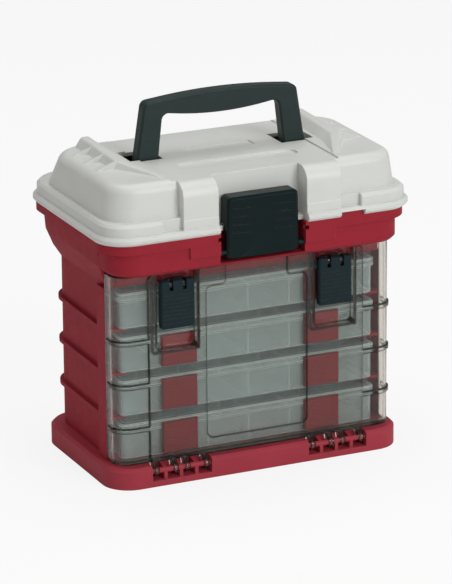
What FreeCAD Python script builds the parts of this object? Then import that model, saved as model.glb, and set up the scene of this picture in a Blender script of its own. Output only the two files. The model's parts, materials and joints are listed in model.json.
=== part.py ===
import FreeCAD, Part
import math
import os
import re
import Sketcher

"""Fishing tackle cabinet: a moulded rack for four utility boxes behind a clear drop-down
door, with a storage tub, a hinged lid and a bail handle on top.

Frame: millimetres, X to the right, Y to the back, Z up, origin in the middle of the
foot's underside.  The foot is centred on the origin.
"""

V = FreeCAD.Vector

# Driving dimensions.  Each one can be changed by itself.
SIZES = {
    # foot
    "foot_width": 268, "foot_depth": 160, "foot_height": 18,
    "foot_front_radius": 24, "foot_rear_radius": 30, "foot_floor": 2.8,
    "foot_round": 3.0, "cell_width": 27, "cell_depth": 30, "cell_rib": 2.2,
    # rack walls
    "rack_front_half": 127, "rack_rear_half": 121.5, "rack_front_setback": 30,
    "rack_rear_setback": 4.5, "rack_rear_radius": 26, "rack_wall": 2.2, "post_depth": 17,
    "panel_inset": 4, "shelf_pitch": 38, "rib_thickness": 3.4, "rib_proud": 3.2,
    "rail_thickness": 2.2, "rail_inner_half": 108, "rail_rear_depth": 8, "rack_top": 168,
    # storage tub
    "tub_half": 133, "tub_front": 86, "tub_rear": 88, "tub_radius": 25, "tub_rim_z": 214,
    "collar_height": 8.5, "collar_proud": 5, "collar_front_proud": 1.8, "tub_wall": 2.4,
    "soffit_z": 185.5, "header_drop": 12.5, "header_thickness": 2.6, "header_half": 119,
    "header_setback": 10.3, "apron_low_z": 195.5, "apron_half": 66,
    "recess_half": 38.5, "recess_depth": 16, "rim_step_near": 70, "rim_step_far": 92,
    "rim_step_height": 4.6,
    # door
    "door_half": 127, "door_gap": 0.4, "door_depth": 22, "door_radius": 14, "door_wall": 2.2,
    "door_bottom_gap": 1.6, "door_sill": 10, "door_top_z": 182.5, "door_band": 3.6,
    "band_proud": 1.3, "band_drop": 6.7, "door_relief": 1.8,
    "lobe_half": 98, "window_half": 46, "window_tab_half": 28, "window_bottom_z": 33,
    "window_shoulder_z": 166, "window_step": 1.1,
    "channel_half": 18.5, "channel_bottom_z": 115, "channel_depth": 8.5, "latch_spacing": 144,
    "hook_window_low": 159.4, "hook_window_high": 174.6, "hook_window_half": 4.2,
    # door hinge
    "hinge_spacing": 143.6, "hinge_setback": 4.8, "hinge_z": 12.4, "pin_radius": 2.4,
    "knuckle_radius": 4.6, "knuckle_width": 4.2, "inner_knuckle_offset": 5.3,
    "outer_knuckle_offset": 22.6, "notch_half": 27, "notch_depth": 15, "notch_floor": 5,
    "web_thickness": 3, "web_offset": 14, "pin_clearance": 0.08,
    # door latch
    "latch_half": 15.2, "latch_bottom_z": 134.2, "latch_top_z": 176, "latch_thickness": 5.6,
    "latch_proud": 1.7, "latch_plate": 2.4, "latch_pivot_z": 171.5, "latch_pin_radius": 1.9,
    "latch_pin_inset": 0.7, "lug_offset": 6, "lug_width": 2.6, "lug_slot": 3.6, "lug_radius": 4,
    "hook_half": 3.6, "hook_gap": 0.3, "grip_pitch": 3.4,
    # lid
    "rim_half": 142, "rim_front": 91, "rim_rear": 95, "rim_front_radius": 28,
    "rim_rear_radius": 36, "rim_height": 7, "band_height": 10, "band_inset": 3.5,
    "band_end": 90, "dome_inset": 8, "dome_top_inset": 13, "dome_front_inset": 11,
    "dome_front_top_inset": 15, "dome_rear_slope": 22,
    "deck_z": 259.5, "dome_top_z": 260.7, "dome_round": 9, "lid_wall": 2.5, "deck_wall": 3.2,
    "centre_half": 71.5, "centre_front": 87, "centre_round": 13, "deck_half": 76,
    "deck_rear": 38, "lid_recess_half": 40, "lid_recess_back": 72, "lid_recess_lean": 3,
    "ridge_base_z": 254, "ridge_top_z": 268.8, "ridge_rear": 52, "ridge_mid": 20,
    "ridge_front": 62, "gusset_thickness": 3, "gusset_tip": 123, "gusset_pitch": 24.5,
    "groove_low": 52, "groove_high": 55, "groove_front": 43, "groove_rear": 27,
    "groove_depth": 1.7, "badge_low": 27, "badge_high": 33, "badge_rear": 12,
    "badge_depth": 0.8,
    # lid hinge
    "lid_hinge_z": 209, "lid_hinge_y": 97, "lid_pin_radius": 2, "lid_knuckle_radius": 4.5,
    "lid_hinge_spacing": 170, "lid_hinge_half": 22, "lid_ear_width": 7,
    # main latch
    "main_half": 33, "main_top_half": 32, "main_bottom_z": 190.3, "main_top_z": 243.1,
    "main_front": 87.5, "main_depth": 14, "main_lower_depth": 7, "main_step_z": 219.5,
    "main_wall": 2.6, "main_pivot_z": 196, "main_pivot_y": 83, "main_pin_radius": 2.5,
    "main_round": 4.5, "facet_half": 23, "facet_top_z": 212, "facet_depth": 2,
    # handle
    "handle_foot_half": 78, "handle_top_half": 69.5, "handle_leg_foot": 19.5,
    "handle_leg_top": 16.5, "handle_depth": 12, "handle_shoulder_z": 308, "handle_crown": 7.4,
    "grip_under_z": 297.5, "grip_belly_z": 289.5, "handle_pivot_z": 254.5,
    "handle_peg_radius": 3, "slot_near": 54.6, "slot_far": 84, "slot_front": 8,
    "slot_rear": 22, "bearing_wall": 2.6,
    # utility boxes
    "box_half": 116, "box_depth": 120.2, "box_height": 31.8, "box_wall": 1.4, "box_setback": 6.2,
    "box_lid_height": 5.5, "box_radius": 5, "box_rear_radius": 12, "box_gap": 0.3,
    "box_flange": 1.8, "box_latch_half": 15.8, "box_latch_thickness": 3.6,
    "box_latch_offset": 65.4, "box_latch_low": 3.4, "box_latch_high": 30, "box_hinge_offset": 60,
    "box_barrel_radius": 2.2, "box_barrel_length": 14, "box_barrel_gap": 0.3, "divider_pitch": 38,
    "divider_thickness": 1.2,
    "running_gap": 0.3,
}
ALIASES = re.compile(r"[a-z][a-z_]*[a-z]")


def bound(expression):
    """Expression with each driving dimension spelled as a cell of the sheet."""
    def cell(match):
        word = match.group(0)
        return "Sizes." + word if word in SIZES else word
    return ALIASES.sub(cell, expression)


class Model:
    """The document, its sheet of sizes and the sub-parts made so far."""

    def __init__(self):
        self.doc = FreeCAD.newDocument("TackleCabinet")
        self.sheet = self.doc.addObject("Spreadsheet::Sheet", "Sizes")
        for row, (alias, value) in enumerate(SIZES.items(), start=1):
            self.sheet.set("A%d" % row, alias)
            self.sheet.set("B%d" % row, str(value))
            self.sheet.setAlias("B%d" % row, alias)
        self.doc.recompute()
        self.parts = {}

    def value(self, expression):
        """Number that an expression over the sheet comes to."""
        return float(self.sheet.evalExpression(bound(expression)))

    def body(self, label):
        """New sub-part made of PartDesign features."""
        return Moulding(self, label)


class Moulding:
    """A PartDesign body with short names for the features used here."""

    def __init__(self, model, label):
        self.model = model
        self.body = model.doc.addObject("PartDesign::Body", label)
        self.body.Label = label
        self.count = 0
        model.parts[label] = self.body

    def plane(self, role):
        return next(f for f in self.body.Origin.OriginFeatures if f.Role == role)

    def named(self, kind, stem):
        self.count += 1
        return self.body.newObject(kind, "%s_%s_%d" % (self.body.Name, stem, self.count))

    def sketch(self, role, offset=None):
        sketch = self.named("Sketcher::SketchObject", "sketch")
        sketch.AttachmentSupport = [(self.plane(role), "")]
        sketch.MapMode = "FlatFace"
        if offset is not None:
            sketch.setExpression("AttachmentOffset.Base.z", bound(offset))
        return sketch

    def outline(self, sketch, corners):
        """Closed outline through corners (x, y) or (x, y, radius), all of them expressions."""
        value = self.model.value
        points = [V(value(c[0]), value(c[1]), 0) for c in corners]
        radii = [value(c[2]) if len(c) > 2 else 0.0 for c in corners]
        count = len(corners)
        starts, ends = [], []
        for i, here in enumerate(points):
            before = (points[i - 1] - here).normalize()
            after = (points[(i + 1) % count] - here).normalize()
            setback = radii[i] / math.tan(before.getAngle(after) / 2) if radii[i] else 0.0
            ends.append(here + before * setback)
            starts.append(here + after * setback)
        lines = []
        for i in range(count):
            lines.append(sketch.addGeometry(Part.LineSegment(starts[i], ends[(i + 1) % count]), False))
        for i, corner in enumerate(corners):
            if radii[i]:
                self.round_corner(sketch, lines[i - 1], lines[i], points[i], ends[i], starts[i],
                                  radii[i], corner)
                continue
            sketch.addConstraint(Sketcher.Constraint("Coincident", lines[i - 1], 2, lines[i], 1))
            self.place_point(sketch, lines[i], corner)
        return sketch

    def place_point(self, sketch, geometry, corner):
        """Hold the first point of a geometry at a corner's two expressions."""
        for kind, expression in (("DistanceX", corner[0]), ("DistanceY", corner[1])):
            number = self.model.value(expression)
            index = sketch.addConstraint(Sketcher.Constraint(kind, -1, 1, geometry, 1, number))
            sketch.setExpression("Constraints[%d]" % index, bound(expression))

    def round_corner(self, sketch, line_in, line_out, point, end, start, radius, corner):
        """Arc tangent to two lines that would meet at a construction point."""
        towards = ((end - point) + (start - point)).normalize()
        half = (end - point).getAngle(start - point) / 2
        centre = point + towards * (radius / math.sin(half))
        circle = Part.Circle(centre, V(0, 0, 1), radius)
        first, last = circle.parameter(end), circle.parameter(start)
        turn = (last - first) % (2 * math.pi)
        forward = turn < math.pi
        if not forward:
            first, last = last, first
        arc = sketch.addGeometry(Part.ArcOfCircle(circle, first, last), False)
        mark = sketch.addGeometry(Part.Point(point), True)
        self.place_point(sketch, mark, corner)
        sketch.addConstraint(Sketcher.Constraint("PointOnObject", mark, 1, line_in))
        sketch.addConstraint(Sketcher.Constraint("PointOnObject", mark, 1, line_out))
        head, tail = (1, 2) if forward else (2, 1)
        sketch.addConstraint(Sketcher.Constraint("Tangent", line_in, 2, arc, head))
        sketch.addConstraint(Sketcher.Constraint("Tangent", line_out, 1, arc, tail))
        index = sketch.addConstraint(Sketcher.Constraint("Radius", arc, radius))
        sketch.setExpression("Constraints[%d]" % index, bound(corner[2]))

    def disc(self, sketch, x, y, radius):
        """Circle at two expressions."""
        value = self.model.value
        circle = Part.Circle(V(value(x), value(y), 0), V(0, 0, 1), value(radius))
        shape = sketch.addGeometry(circle, False)
        for kind, expression in (("DistanceX", x), ("DistanceY", y)):
            index = sketch.addConstraint(
                Sketcher.Constraint(kind, -1, 1, shape, 3, value(expression)))
            sketch.setExpression("Constraints[%d]" % index, bound(expression))
        index = sketch.addConstraint(Sketcher.Constraint("Radius", shape, value(radius)))
        sketch.setExpression("Constraints[%d]" % index, bound(radius))
        return sketch

    def extrude(self, kind, sketch, length, backwards=False):
        feature = self.named("PartDesign::" + kind, kind.lower())
        feature.Profile = sketch
        feature.setExpression("Length", bound(length))
        feature.Reversed = backwards
        self.model.doc.recompute()
        return feature

    def pad(self, role, offset, corners, length, backwards=False):
        """Solid with an outline on a plane moved by offset along its normal."""
        sketch = self.outline(self.sketch(role, offset), corners)
        return self.extrude("Pad", sketch, length, backwards)

    def pocket(self, role, offset, corners, length, backwards=True):
        """Cut with an outline; it runs along the plane's normal unless told otherwise."""
        sketch = self.outline(self.sketch(role, offset), corners)
        before = self.body.Shape.Volume
        feature = self.extrude("Pocket", sketch, length, backwards)
        if not feature.Shape.Volume < before - 1e-6:
            raise ValueError("%s cuts nothing" % feature.Name)
        return feature

    def rod(self, start, y, z, radius, length):
        """Round bar along X from an expression start."""
        sketch = self.disc(self.sketch("YZ_Plane", start), y, z, radius)
        return self.extrude("Pad", sketch, length)

    def bore(self, start, y, z, radius, length):
        """Round hole along X from an expression start."""
        sketch = self.disc(self.sketch("YZ_Plane", start), y, z, radius)
        before = self.body.Shape.Volume
        feature = self.extrude("Pocket", sketch, length, True)
        if not feature.Shape.Volume < before - 1e-6:
            raise ValueError("%s bores nothing" % feature.Name)
        return feature

    def loft(self, kind, role, sections):
        """Ruled loft through (offset, corners) sections on parallel planes."""
        sketches = [self.outline(self.sketch(role, offset), corners) for offset, corners in sections]
        feature = self.named("PartDesign::" + kind, "loft")
        feature.Profile = sketches[0]
        feature.Sections = sketches[1:]
        feature.Ruled = True
        self.model.doc.recompute()
        return feature

    def mirror(self, features):
        """Copy features to the other side of the middle plane."""
        feature = self.named("PartDesign::Mirrored", "mirror")
        feature.Originals = features
        feature.MirrorPlane = (self.plane("YZ_Plane"), [""])
        self.body.Tip = feature
        self.model.doc.recompute()
        return feature

    def pattern(self, features, role, pitch, count, second=None):
        """Repeat features along an axis, and along a second one when given."""
        feature = self.named("PartDesign::LinearPattern", "pattern")
        feature.Originals = features
        feature.Direction = (self.plane(role), [""])
        feature.Mode = "Spacing"
        feature.setExpression("Offset", bound(pitch))
        feature.Occurrences = count
        if second:
            feature.Direction2 = (self.plane(second[0]), [""])
            feature.Mode2 = "Spacing"
            feature.setExpression("Offset2", bound(second[1]))
            feature.Occurrences2 = second[2]
        self.body.Tip = feature
        self.model.doc.recompute()
        return feature

    def finish_edges(self, kind, measure, size, chosen):
        """Fillet or chamfer on the edges of the tip that a test accepts."""
        shape = self.body.Shape
        names = ["Edge%d" % (i + 1) for i, edge in enumerate(shape.Edges) if chosen(edge)]
        if not names:
            raise ValueError("no edge to finish on %s" % self.body.Label)
        base = self.body.Tip
        feature = self.named("PartDesign::" + kind, kind.lower())
        feature.Base = (base, names)
        feature.setExpression(measure, bound(size))
        self.model.doc.recompute()
        return feature

    def fillet(self, radius, chosen):
        """Round the edges of the tip that a test accepts."""
        return self.finish_edges("Fillet", "Radius", radius, chosen)

    def chamfer(self, size, chosen):
        """Bevel the edges of the tip that a test accepts."""
        return self.finish_edges("Chamfer", "Size", size, chosen)


def box_corners(x_low, x_high, y_low, y_high):
    """Plain rectangle between expressions."""
    return [(x_low, y_low), (x_high, y_low), (x_high, y_high), (x_low, y_high)]


def tray_corners(half, front, rear, front_radius, rear_radius):
    """Rectangle with rounded corners, symmetric about X = 0; front and rear are Y values."""
    return [("-(%s)" % half, front, front_radius), (half, front, front_radius),
            (half, rear, rear_radius), ("-(%s)" % half, rear, rear_radius)]


def at_height(z, tolerance=0.01):
    """Test for edges that lie at one height."""
    def chosen(edge):
        box = edge.BoundBox
        return abs(box.ZMin - z) < tolerance and abs(box.ZMax - z) < tolerance
    return chosen


FOOT_FRONT = "-foot_depth / 2"
FOOT_REAR = "foot_depth / 2"
HINGE_Y = "-foot_depth / 2 + hinge_setback"
RACK_FRONT = "-foot_depth / 2 + rack_front_setback"
RACK_REAR = "foot_depth / 2 - rack_rear_setback"


def foot_plate(model):
    """Thick rounded foot, ribbed below, with the two hinge notches and their pins."""
    foot = model.body("foot_plate")
    foot.pad("XY_Plane", "0", tray_corners("foot_width / 2", FOOT_FRONT, FOOT_REAR,
                                           "foot_front_radius", "foot_rear_radius"), "foot_height")
    foot.chamfer("foot_round - 0.6", at_height(model.value("foot_height")))
    left = "-hinge_spacing / 2 - notch_half"
    right = "-hinge_spacing / 2 + notch_half"
    front = FOOT_FRONT + " - 1"
    notch = foot.pocket("XY_Plane", "notch_floor",
                        box_corners(left, right, front, FOOT_FRONT + " + notch_depth"),
                        "foot_height")
    pin = foot.rod(left + " - 1", HINGE_Y, "hinge_z", "pin_radius", "2 * notch_half + 2")
    webs = [hinge_web(foot, side) for side in (-1, 0, 1)]
    foot.mirror([notch, pin] + webs)
    columns, rows = 8, 4
    pitch_x, pitch_y = "cell_width + cell_rib", "cell_depth + cell_rib"
    first_x = "-(%d * cell_width + %d * cell_rib) / 2" % (columns, columns - 1)
    first_y = "(%d * cell_depth + %d * cell_rib) / 2 - cell_depth" % (rows, rows - 1)
    cell = foot.pocket("XY_Plane", "0", box_corners(first_x, first_x + " + cell_width",
                                                    first_y, first_y + " + cell_depth"),
                       "foot_height - foot_floor")
    foot.pattern([cell], "YZ_Plane", pitch_x, columns, ("XZ_Plane", pitch_y, rows))
    return foot


def hinge_web(foot, side):
    """Upright web from the back of the notch that carries the hinge pin."""
    centre = "-hinge_spacing / 2 + %d * web_offset" % side
    back = FOOT_FRONT + " + notch_depth + 1"
    nose = HINGE_Y + " - pin_radius"
    return foot.pad("YZ_Plane", centre + " - web_thickness / 2",
                    [(nose, "notch_floor - 1"), (back, "notch_floor - 1"),
                     (back, "hinge_z + 2 * pin_radius"), (HINGE_Y, "hinge_z + pin_radius"),
                     (nose, "hinge_z")], "web_thickness")


def shelf_z(number):
    """Height of the top of shelf rail number 0 to 3; rail 0 is the foot itself."""
    return "foot_height + %d * shelf_pitch" % number


def wall_outline(proud):
    """Plan of the rack's outside; proud moves it inwards when negative."""
    step = "%s + post_depth + %s" % (RACK_FRONT, proud)
    return [("-rack_front_half - " + proud, RACK_FRONT), ("-rack_front_half - " + proud, step),
            ("-rack_front_half + panel_inset - " + proud, step),
            ("-rack_rear_half - " + proud, RACK_REAR + " + " + proud, "rack_rear_radius + " + proud),
            ("rack_rear_half + " + proud, RACK_REAR + " + " + proud, "rack_rear_radius + " + proud),
            ("rack_front_half - panel_inset + " + proud, step),
            ("rack_front_half + " + proud, step), ("rack_front_half + " + proud, RACK_FRONT)]


def rack_body(model):
    """Side walls with outward ribs, back wall and the inner rails that carry the boxes."""
    rack = model.body("rack_body")
    height = "rack_top - foot_height"
    rack.pad("XY_Plane", "foot_height", wall_outline("0"), height)
    for number in (1, 2, 3):
        rack.pad("XY_Plane", shelf_z(number) + " - rib_thickness",
                 [("-rack_front_half + running_gap", RACK_FRONT + " + post_depth / 2"),
                  ("-rack_rear_half - rib_proud", RACK_REAR + " + rib_proud",
                   "rack_rear_radius + rib_proud"),
                  ("rack_rear_half + rib_proud", RACK_REAR + " + rib_proud",
                   "rack_rear_radius + rib_proud"),
                  ("rack_front_half - running_gap", RACK_FRONT + " + post_depth / 2")],
                 "rib_thickness")
    inner = wall_outline("(-rack_wall)")
    inner[0] = (inner[0][0], RACK_FRONT + " - 1")
    inner[-1] = (inner[-1][0], RACK_FRONT + " - 1")
    for number in (0, 1, 2, 3):
        rack.pocket("XY_Plane", shelf_z(number), inner, "shelf_pitch - rail_thickness")
    rack.pocket("XY_Plane", shelf_z(1) + " - 2 * rail_thickness",
                box_corners("-rail_inner_half", "rail_inner_half", RACK_FRONT + " - 1",
                            RACK_REAR + " - rack_wall - rail_rear_depth"), "rack_top")
    return rack


def storage_tub(model):
    """Open tub on top of the rack; its front overhangs the door and its sides flare out."""
    tub = model.body("storage_tub")
    flare = [("rack_top", "rack_rear_half + 1.5", RACK_REAR, "rack_rear_radius"),
             ("rack_top + 8", "tub_half - 6", "tub_rear - 6", "rack_rear_radius"),
             ("rack_top + 21", "tub_half - 1.6", "tub_rear - 1.6", "rack_rear_radius"),
             ("tub_rim_z", "tub_half", "tub_rear", "rack_rear_radius")]
    tub.pad("XY_Plane", "soffit_z",
            tray_corners("tub_half - 1.6", "-tub_front", RACK_FRONT + " + 30", "tub_radius",
                         "tub_wall"), "tub_rim_z - soffit_z")
    tub.chamfer("2.4", at_height(model.value("soffit_z")))
    tub.loft("AdditiveLoft", "XY_Plane",
             [(z, tray_corners(half, RACK_FRONT, rear, "tub_wall", radius))
              for z, half, rear, radius in flare])
    proud = "-tub_front - collar_front_proud"
    tub.pad("XY_Plane", "tub_rim_z - collar_height",
            tray_corners("tub_half + collar_proud", proud, "tub_rear + collar_front_proud",
                         "tub_radius + collar_front_proud", "rack_rear_radius"), "collar_height")
    tub.pad("XY_Plane", "apron_low_z",
            box_corners("-apron_half", "apron_half", proud, "-tub_front + 1"),
            "tub_rim_z - collar_height - apron_low_z + 1")
    tub.pad("XY_Plane", "tub_rim_z - 1",
            box_corners("rim_step_near + 1.5", "rim_step_far - 1.5", proud, "-tub_front + tub_wall"),
            "rim_step_height + 0.7")
    tub.pocket("XY_Plane", "rack_top + tub_wall",
               tray_corners("rack_rear_half - tub_wall", RACK_FRONT + " + tub_wall",
                            RACK_REAR + " - tub_wall", "tub_wall",
                            "rack_rear_radius - tub_wall"), "tub_rim_z")
    floor_z, inner_half = "soffit_z + tub_wall", "tub_half - 2 * tub_wall"
    tub.pocket("XY_Plane", floor_z,
               tray_corners(inner_half, "-tub_front + recess_depth + tub_wall",
                            "tub_rear - 2 * tub_wall", "tub_radius - tub_wall",
                            "rack_rear_radius - tub_wall"), "tub_rim_z - " + floor_z)
    bays = [storage_bay(tub, side, floor_z) for side in ("", "-")]
    tub.pocket("XY_Plane", floor_z,
               box_corners("-recess_half", "recess_half", "-tub_front - 10",
                           "-tub_front + recess_depth"), "tub_rim_z")
    header_y = "%s - door_depth + door_wall + header_setback" % RACK_FRONT
    tub.pad("XY_Plane", "soffit_z - header_drop",
            box_corners("-header_half", "header_half", header_y,
                        header_y + " + header_thickness"), "header_drop + 1")
    tub.bore("-recess_half - 2 * tub_wall", "-main_pivot_y", "main_pivot_z",
             "main_pin_radius + pin_clearance", "2 * recess_half + 4 * tub_wall")
    slot = tub.pocket("XZ_Plane", "tub_front + collar_front_proud + 1",
                      box_corners("recess_half - 1", "recess_half + 3", "tub_rim_z - 7",
                                  "tub_rim_z - 3.4"), "6", False)
    tub.mirror([slot])
    ears = [tub.pad("YZ_Plane", start, hinge_ear_corners(), "lid_ear_width")
            for start in ("lid_hinge_spacing / 2 - lid_hinge_half",
                          "lid_hinge_spacing / 2 + lid_hinge_half - lid_ear_width")]
    hole = tub.bore("lid_hinge_spacing / 2 - lid_hinge_half - 1", "lid_hinge_y", "lid_hinge_z",
                    "lid_pin_radius", "2 * lid_hinge_half + 2")
    tub.mirror(ears + [hole])
    return tub


def storage_bay(tub, side, floor_z):
    """Part of the tub's inside that runs forward beside the latch recess."""
    near, far = side + "(recess_half + tub_wall)", side + "(tub_half - 2 * tub_wall)"
    back = "-tub_front + tub_radius + recess_depth"
    corners = [(near, "-tub_front + tub_wall"),
               (far, "-tub_front + tub_wall", "tub_radius - tub_wall"), (far, back), (near, back)]
    return tub.pocket("XY_Plane", floor_z, corners, "tub_rim_z - " + floor_z)


def hinge_ear_corners():
    """Outline of a tub ear: from the collar back to a round end about the lid's pin."""
    low, high = "lid_hinge_z - lid_knuckle_radius", "lid_hinge_z + lid_knuckle_radius"
    end = "lid_hinge_y + lid_knuckle_radius"
    return [("tub_rear - 1", low), (end, low, "lid_knuckle_radius - 0.1"),
            (end, high, "lid_knuckle_radius - 0.1"), ("tub_rear - 1", high)]


def lid(model):
    """Moulded lid: rim, stepped band, two raised end blocks, a forward centre and a deck."""
    cover = model.body("lid")
    cover.pad("XY_Plane", "tub_rim_z", tray_corners("rim_half", "-rim_front", "rim_rear",
                                                    "rim_front_radius", "rim_rear_radius"),
              "rim_height")
    cover.chamfer("rim_height / 3", lambda edge: edge.BoundBox.ZLength < 0.01)
    band_z = "tub_rim_z + rim_height"
    cover.pad("XY_Plane", band_z + " - 1",
              tray_corners("rim_half - band_inset", "-rim_front + band_inset",
                           "rim_rear - band_inset", "rim_front_radius - band_inset",
                           "rim_rear_radius - band_inset"), "band_height + 1")
    cover.chamfer("2.4", at_height(model.value(band_z + " + band_height")))
    for low, high in (("-band_end", "-centre_half"), ("centre_half", "band_end")):
        cover.pocket("XY_Plane", band_z,
                     box_corners(low, high, "-rim_front - 1", "-rim_front + dome_inset"),
                     "band_height + 1")
    cover.loft("AdditiveLoft", "XY_Plane", [
        (band_z + " - 2", tray_corners("rim_half - dome_inset", "-rim_front + dome_front_inset",
                                       "rim_rear - dome_inset", "rim_front_radius - dome_inset / 2",
                                       "rim_rear_radius - dome_inset / 2")),
        ("dome_top_z", tray_corners("rim_half - dome_top_inset",
                                    "-rim_front + dome_front_top_inset",
                                    "rim_rear - dome_top_inset - dome_rear_slope",
                                    "rim_front_radius - dome_inset / 2",
                                    "rim_rear_radius - dome_inset / 2"))])
    cover.fillet("dome_round", at_height(model.value("dome_top_z")))
    cover.pocket("XY_Plane", "deck_z", box_corners("-deck_half", "deck_half", "-rim_front",
                                                   "rim_rear"), "dome_top_z")
    cover.pad("YZ_Plane", "-centre_half", [
        ("-centre_front", "tub_rim_z + rim_height / 2"), ("-centre_front", "deck_z", "centre_round"),
        ("deck_rear", "deck_z"), ("deck_rear", "tub_rim_z + rim_height / 2")], "2 * centre_half")
    lid_ridges(cover)
    lid_latch_recess(cover)
    lid_cavity(cover)
    lid_deck_details(cover)
    lid_hinge_knuckles(cover)
    cover.pocket("XY_Plane", "tub_rim_z", box_corners("rim_step_near", "rim_step_far",
                                                      "-rim_front - 1", "-rim_front + dome_inset"),
                 "rim_step_height")
    return cover


def lid_ridges(cover):
    """Sloping ridge along the inner side of each end block, with three gussets against it."""
    base = "ridge_base_z"
    rear = [("-113", base), ("-103", "ridge_top_z", "4"), ("-96", "ridge_top_z", "4"), ("-84", base)]
    mid = [("-112", base), ("-103", "ridge_top_z - 1.6", "3"),
           ("-94", "ridge_top_z - 2.4", "4"), ("-76", base)]
    front = [("-84", base), ("-81", "dome_top_z + 0.6", "1"), ("-76", "dome_top_z + 0.4", "1"),
             ("-71", base)]
    tail = [("-109", "ridge_base_z - 8"), ("-103", base, "3"), ("-97", base, "3"),
            ("-87", "ridge_base_z - 8")]
    parts = [cover.loft("AdditiveLoft", "XZ_Plane", [("-ridge_rear", rear), ("ridge_mid", mid)]),
             cover.loft("AdditiveLoft", "XZ_Plane", [("ridge_mid", mid), ("ridge_front", front)]),
             cover.loft("AdditiveLoft", "XZ_Plane", [("-ridge_rear - 11", tail),
                                                     ("-ridge_rear", rear)])]
    for number in range(3):
        parts.append(cover.pad("XZ_Plane", "ridge_mid - %d * gusset_pitch" % number, [
            ("-gusset_tip", "dome_top_z - 0.4"), ("-100", "dome_top_z - 0.4"),
            ("-100", "ridge_top_z - 2.2"), ("-104", "ridge_top_z - 2.2")], "gusset_thickness"))
    cover.mirror(parts)


def lid_latch_recess(cover):
    """Recess in the lid's front for the main latch, with side tabs and a catch bead."""
    cover.pocket("YZ_Plane", "-lid_recess_half", [
        ("-rim_front - 2", "tub_rim_z - 1"), ("-lid_recess_back", "tub_rim_z - 1"),
        ("-lid_recess_back + lid_recess_lean", "dome_top_z + 1"), ("-rim_front - 2", "dome_top_z + 1")],
        "2 * lid_recess_half")
    tab = cover.pad("XY_Plane", "tub_rim_z",
                    box_corners("main_half + running_gap", "lid_recess_half + 1",
                                "-lid_recess_back - 8", "-lid_recess_back + 1"), "4")
    cover.mirror([tab])
    bead_y = "-main_front + main_depth + running_gap"
    cover.pad("YZ_Plane", "-main_half / 2", [
        (bead_y, "main_top_z - 11"), ("-lid_recess_back + lid_recess_lean", "main_top_z - 13"),
        ("-lid_recess_back + lid_recess_lean", "main_top_z - 6"), (bead_y, "main_top_z - 9")],
        "main_half")


def lid_cavity(cover):
    """Hollow of the lid, open downwards; three volumes leave walls of an even thickness."""
    front = "-lid_recess_back + lid_recess_lean + deck_wall"
    radius = "rim_rear_radius - dome_inset / 2 - lid_wall"
    cover.loft("SubtractiveLoft", "XY_Plane", [
        ("tub_rim_z", tray_corners("rim_half - dome_inset - lid_wall", front,
                                   "rim_rear - dome_inset - lid_wall", "4", radius)),
        ("deck_z - deck_wall", tray_corners("rim_half - dome_top_inset - 2 * lid_wall", front,
                                            "rim_rear - dome_top_inset - dome_rear_slope - 7",
                                            "4", radius))])
    near = "lid_recess_half + lid_wall"
    far = "rim_half - dome_top_inset - lid_wall + 1"
    wall = "-rim_front + dome_front_top_inset + lid_wall - 1"
    bay = cover.pocket("XY_Plane", "tub_rim_z", [
        (near, wall), (far, wall, "rim_front_radius - dome_inset / 2 - lid_wall"),
        (far, "-30"), (near, "-30")], "deck_z - dome_round - tub_rim_z - 1")
    cove = cover.pocket("XY_Plane", "tub_rim_z", box_corners(
        near, "centre_half - lid_wall", "-centre_front + lid_wall", "-60"),
        "deck_z - centre_round - tub_rim_z")
    cover.mirror([bay, cove])


def lid_deck_details(cover):
    """Finger groove, bare badge panel, handle slots and the bearing walls below them."""
    cover.pocket("XY_Plane", "deck_z - groove_depth", [
        ("-groove_low", "-groove_front", "7"), ("groove_high", "-groove_front", "7"),
        ("groove_high", "-groove_rear", "7"), ("-groove_low", "-groove_rear", "7")], "10")
    cover.pocket("XY_Plane", "deck_z - badge_depth",
                 box_corners("-badge_low", "badge_high", "0", "badge_rear"), "10")
    slot = cover.pocket("XY_Plane", "deck_z - deck_wall - 2",
                        box_corners("slot_near", "slot_far", "-slot_front", "slot_rear"), "20")
    walls = [cover.pad("YZ_Plane", start, [
        ("-slot_front - 2", "deck_z - deck_wall + 0.5"), ("-slot_front - 2", "handle_pivot_z - 8", "3"),
        ("slot_rear", "handle_pivot_z - 8", "8"), ("slot_rear", "deck_z - deck_wall + 0.5")],
        "bearing_wall") for start in ("slot_near - bearing_wall", "slot_far")]
    bore = cover.bore("slot_near - bearing_wall - 1", "0", "handle_pivot_z",
                      "handle_peg_radius + pin_clearance",
                      "slot_far - slot_near + 2 * bearing_wall + 2")
    cover.mirror([slot] + walls + [bore])


def lid_hinge_knuckles(cover):
    """Knuckles behind the rim that turn on the two hinge pins."""
    near, far = "lid_hinge_y - lid_knuckle_radius", "lid_hinge_y + lid_knuckle_radius"
    low = "lid_hinge_z - lid_knuckle_radius"
    start = "lid_hinge_spacing / 2 - lid_hinge_half + lid_ear_width + running_gap"
    length = "2 * (lid_hinge_half - lid_ear_width - running_gap)"
    arm = cover.pad("YZ_Plane", start, [
        (near, low, "lid_knuckle_radius - 0.1"), (far, low, "lid_knuckle_radius - 0.1"),
        (far, "tub_rim_z + rim_height - 1", "3"), (near, "tub_rim_z + rim_height - 1")], length)
    hole = cover.bore(start + " - 1", "lid_hinge_y", "lid_hinge_z",
                      "lid_pin_radius + pin_clearance", length + " + 2")
    cover.mirror([arm, hole])


def lid_hinge_pin(model, side, label):
    """Steel pin of one lid hinge."""
    pin = model.body(label)
    pin.rod("%s(lid_hinge_spacing / 2) - lid_hinge_half" % side, "lid_hinge_y", "lid_hinge_z",
            "lid_pin_radius", "2 * lid_hinge_half")
    return pin


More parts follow.
